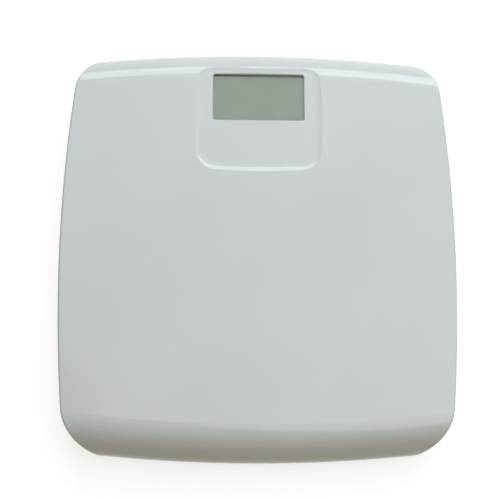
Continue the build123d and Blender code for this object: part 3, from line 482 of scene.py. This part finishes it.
def photo_camera():
    """The camera, placed and turned so that the object stands in the frame as in the photograph."""
    azimuth = math.radians(view_azimuth)
    elevation = math.radians(view_elevation)
    level = math.cos(elevation)
    back = Vector((level * math.sin(azimuth), -level * math.cos(azimuth), math.sin(elevation)))
    data = bpy.data.cameras.new("photo_camera")
    data.sensor_width = sensor_millimetres
    data.lens = focal_pixels * sensor_millimetres / image_pixels
    data.shift_x = (image_pixels / 2 - middle_pixel[0]) / image_pixels
    data.shift_y = (middle_pixel[1] - image_pixels / 2) / image_pixels
    camera = bpy.data.objects.new("photo_camera", data)
    bpy.context.scene.collection.objects.link(camera)
    camera.location = Vector((0, 0, view_height)) + back * view_distance
    camera.rotation_mode = "QUATERNION"
    roll = Quaternion((0, 0, 1), math.radians(view_roll))
    camera.rotation_quaternion = back.to_track_quat("Z", "Y") @ roll
    bpy.context.scene.camera = camera


def islands(data):
    """The boxes round the separate solids of a mesh: lowest and highest corner, from left to right."""
    group = {vertex.index: {vertex.index} for vertex in data.vertices}
    for edge in data.edges:
        first, second = (group[index] for index in edge.vertices)
        if first is not second:
            small, large = sorted((first, second), key=len)
            large |= small
            for index in small:
                group[index] = large
    solids = {id(members): members for members in group.values()}.values()
    boxes = []
    for members in solids:
        points = [data.vertices[index].co for index in members]
        lowest = Vector([min(point[axis] for point in points) for axis in range(3)])
        highest = Vector([max(point[axis] for point in points) for axis in range(3)])
        boxes.append((lowest, highest))
    return sorted(boxes, key=lambda box: tuple(box[0]))


def screw_turns():
    """Angles round a screw, with one at each corner of its cross recess."""
    corner = math.atan2(recess_width_share, recess_reach_share)
    offsets = (-math.pi / 4, -math.pi / 6, -corner, 0, corner, math.pi / 6)
    return [quarter * math.pi / 2 + offset for quarter in range(4) for offset in offsets]


def recess_share(turn):
    """How far the cross recess reaches from the axis at an angle, as a share of the head's radius."""
    from_arm = abs((turn + math.pi / 4) % (math.pi / 2) - math.pi / 4)
    arm_end = recess_reach_share / math.cos(from_arm)
    if from_arm == 0:
        return arm_end
    return min(arm_end, recess_width_share / math.sin(from_arm))


def screw_rings(turns, head_radius, head_height, shank_radius, length):
    """Rings of radius and height at each angle, from the recess over the head and down the thread."""
    recess = [recess_share(turn) * head_radius for turn in turns]
    recess_floor = head_height * (1 - recess_depth_share)
    rings = [[(reach * recess_taper_share, recess_floor) for reach in recess]]
    rings.append([(reach, head_height) for reach in recess])
    for radius_share, height_share in head_shares:
        rings.append([(head_radius * radius_share, head_height * height_share)] * len(turns))
    pitch = shank_radius * pitch_share
    tip_length = shank_radius * tip_length_share
    steps = math.ceil(length / pitch * thread_steps)
    for step in range(steps + 1):
        depth = length * step / steps
        taper = min(1, tip_share + (length - depth) / tip_length)
        fade = min(1, depth / pitch, (length - depth) / tip_length)
        ring = []
        for turn in turns:
            phase = (depth / pitch - turn / (2 * math.pi)) % 1
            crest = max(0, 1 - crest_slope * abs(phase - 1 / 2)) * fade
            ring.append((shank_radius * (core_share * taper + (1 - core_share) * crest), -depth))
        rings.append(ring)
    return rings


def add_screw(mesh, box, kind):
    """A cross-recessed screw with a real thread, in the place of a plain one."""
    heading, head_diameter, head_height, shank_diameter = kind
    lowest, highest = box
    middle = (lowest + highest) / 2
    seat = lowest.z + head_height if heading > 0 else highest.z - head_height
    length = highest.z - lowest.z - head_height
    turns = screw_turns()
    rows = []
    for ring in screw_rings(turns, head_diameter / 2, head_height, shank_diameter / 2, length):
        row = []
        for turn, (radius, height) in zip(turns, ring):
            x = middle.x + radius * math.cos(turn)
            y = middle.y + radius * math.sin(turn)
            row.append(mesh.verts.new((x, y, seat - heading * height)))
        rows.append(row)
    for first, second in zip(rows, rows[1:]):
        for k in range(len(turns)):
            after = (k + 1) % len(turns)
            mesh.faces.new((first[k], first[after], second[after], second[k]))
    mesh.faces.new(rows[0])
    mesh.faces.new(rows[-1])


def screws_piece(node_name, finish):
    """The screws of a node, in place of its plain ones."""
    mesh = bmesh.new()
    for box in islands(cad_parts[node_name].data):
        add_screw(mesh, box, screw_kinds[node_name])
    bmesh.ops.recalc_face_normals(mesh, faces=mesh.faces)
    for face in mesh.faces:
        face.smooth = True
    data = bpy.data.meshes.new(node_name + "_threaded")
    mesh.to_mesh(data)
    mesh.free()
    data.set_sharp_from_angle(angle=math.radians(sharp_edge_angle))
    piece = bpy.data.objects.new(node_name + "_threaded", data)
    bpy.context.scene.collection.objects.link(piece)
    data.materials.append(finish)
    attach(piece, "scale_body")
    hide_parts(node_name)


def at_corners(kind):
    """The names of a kind's four nodes, one at each corner."""
    return [f"{kind}_{corner}" for corner in corners]


def dress(finish, *names):
    """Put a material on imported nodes."""
    for name in names:
        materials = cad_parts[name].data.materials
        materials.clear()
        materials.append(finish)


photo_camera()
studio_world()
studio_floor()
for name, lamp in lamps.items():
    softbox(name, *lamp)

# Housing and feet
cover_white = glossy_shell("cover_plastic_finish", srgb(203, 207, 206), srgb(209, 213, 212))
tray_white = grained_plastic("tray_plastic_finish", srgb(201, 204, 203), srgb(207, 210, 209))
foot_white = grained_plastic("foot_plastic_finish", srgb(192, 195, 195), srgb(198, 201, 201), grain=2600.0)
button_grey = grained_plastic(
    "button_plastic_finish", srgb(110, 116, 120), srgb(122, 128, 132), low=0.3, high=0.42, grain=2600.0
)
pad_rubber = rubber("pad_rubber_finish", srgb(58, 58, 60), srgb(96, 95, 92))
dress(cover_white, "platform_cover")
dress(tray_white, "bottom_tray", "battery_door")
dress(button_grey, "unit_button")
dress(foot_white, *at_corners("foot_cup"))
dress(pad_rubber, *at_corners("foot_pad"))

# Display
# The display's frame: dark plastic. Its dark tone is also painted shade for the shaded wall seen round the
# window
frame_dark_and_painted_shade = grained_plastic("frame_plastic_finish", srgb(46, 48, 50), srgb(58, 60, 62))
zebra_pink = silicone("zebra_rubber_finish", srgb(168, 96, 104), srgb(186, 118, 124))
dress(clear_window("lens_clear_finish"), "display_lens")
dress(display_glass("lcd_glass_finish"), "lcd_panel")
dress(frame_dark_and_painted_shade, "lcd_frame")
dress(zebra_pink, "zebra_strip")

# Boards and what they carry
component_metal = plated_steel("component_metal_finish", srgb(150, 152, 154), srgb(186, 188, 190))
socket_cream = grained_plastic("socket_plastic_finish", srgb(214, 208, 190), srgb(226, 221, 205))
key_black = grained_plastic("key_plastic_finish", srgb(30, 30, 32), srgb(44, 44, 46))
dress(board_laminate("board_laminate_finish"), "circuit_board", "switch_board")
dress(resin_blob("chip_resin_finish"), "controller_chip")
dress(component_metal, "board_components")
dress(socket_cream, "lead_sockets")
dress(key_black, "key_switch")

# Batteries, load cells and leads
contact_plated = pressed_steel("contact_metal_finish", srgb(178, 180, 176), srgb(206, 208, 203))
cell_pressed = pressed_steel("cell_steel_finish", srgb(150, 152, 153), srgb(184, 186, 186), 90.0)
gauge_white = silicone("gauge_silicone_finish", srgb(206, 207, 200), srgb(226, 227, 221))
lead_red = lead_jacket("lead_red_finish", srgb(150, 26, 26), srgb(176, 40, 36))
lead_black = lead_jacket("lead_black_finish", srgb(26, 26, 28), srgb(42, 42, 44))
lead_grey = lead_jacket("lead_grey_finish", srgb(120, 122, 124), srgb(142, 144, 146))
dress(battery_jacket("battery_jacket_finish"), "battery_near", "battery_far")
dress(contact_plated, "battery_contact_positive", "battery_contact_negative", "battery_contact_bridge")
dress(cell_pressed, *at_corners("load_cell"))
dress(gauge_white, *at_corners("gauge_coating"))
dress(lead_red, "battery_lead_positive")
dress(lead_black, "battery_lead_negative")
dress(lead_grey, "switch_lead", *at_corners("load_cell_lead"))

screw_steel = plated_steel("screw_steel_finish", srgb(146, 148, 150), srgb(190, 192, 193))
for name in screw_kinds:
    screws_piece(name, screw_steel)

bpy.context.scene.view_settings.view_transform = "Standard"
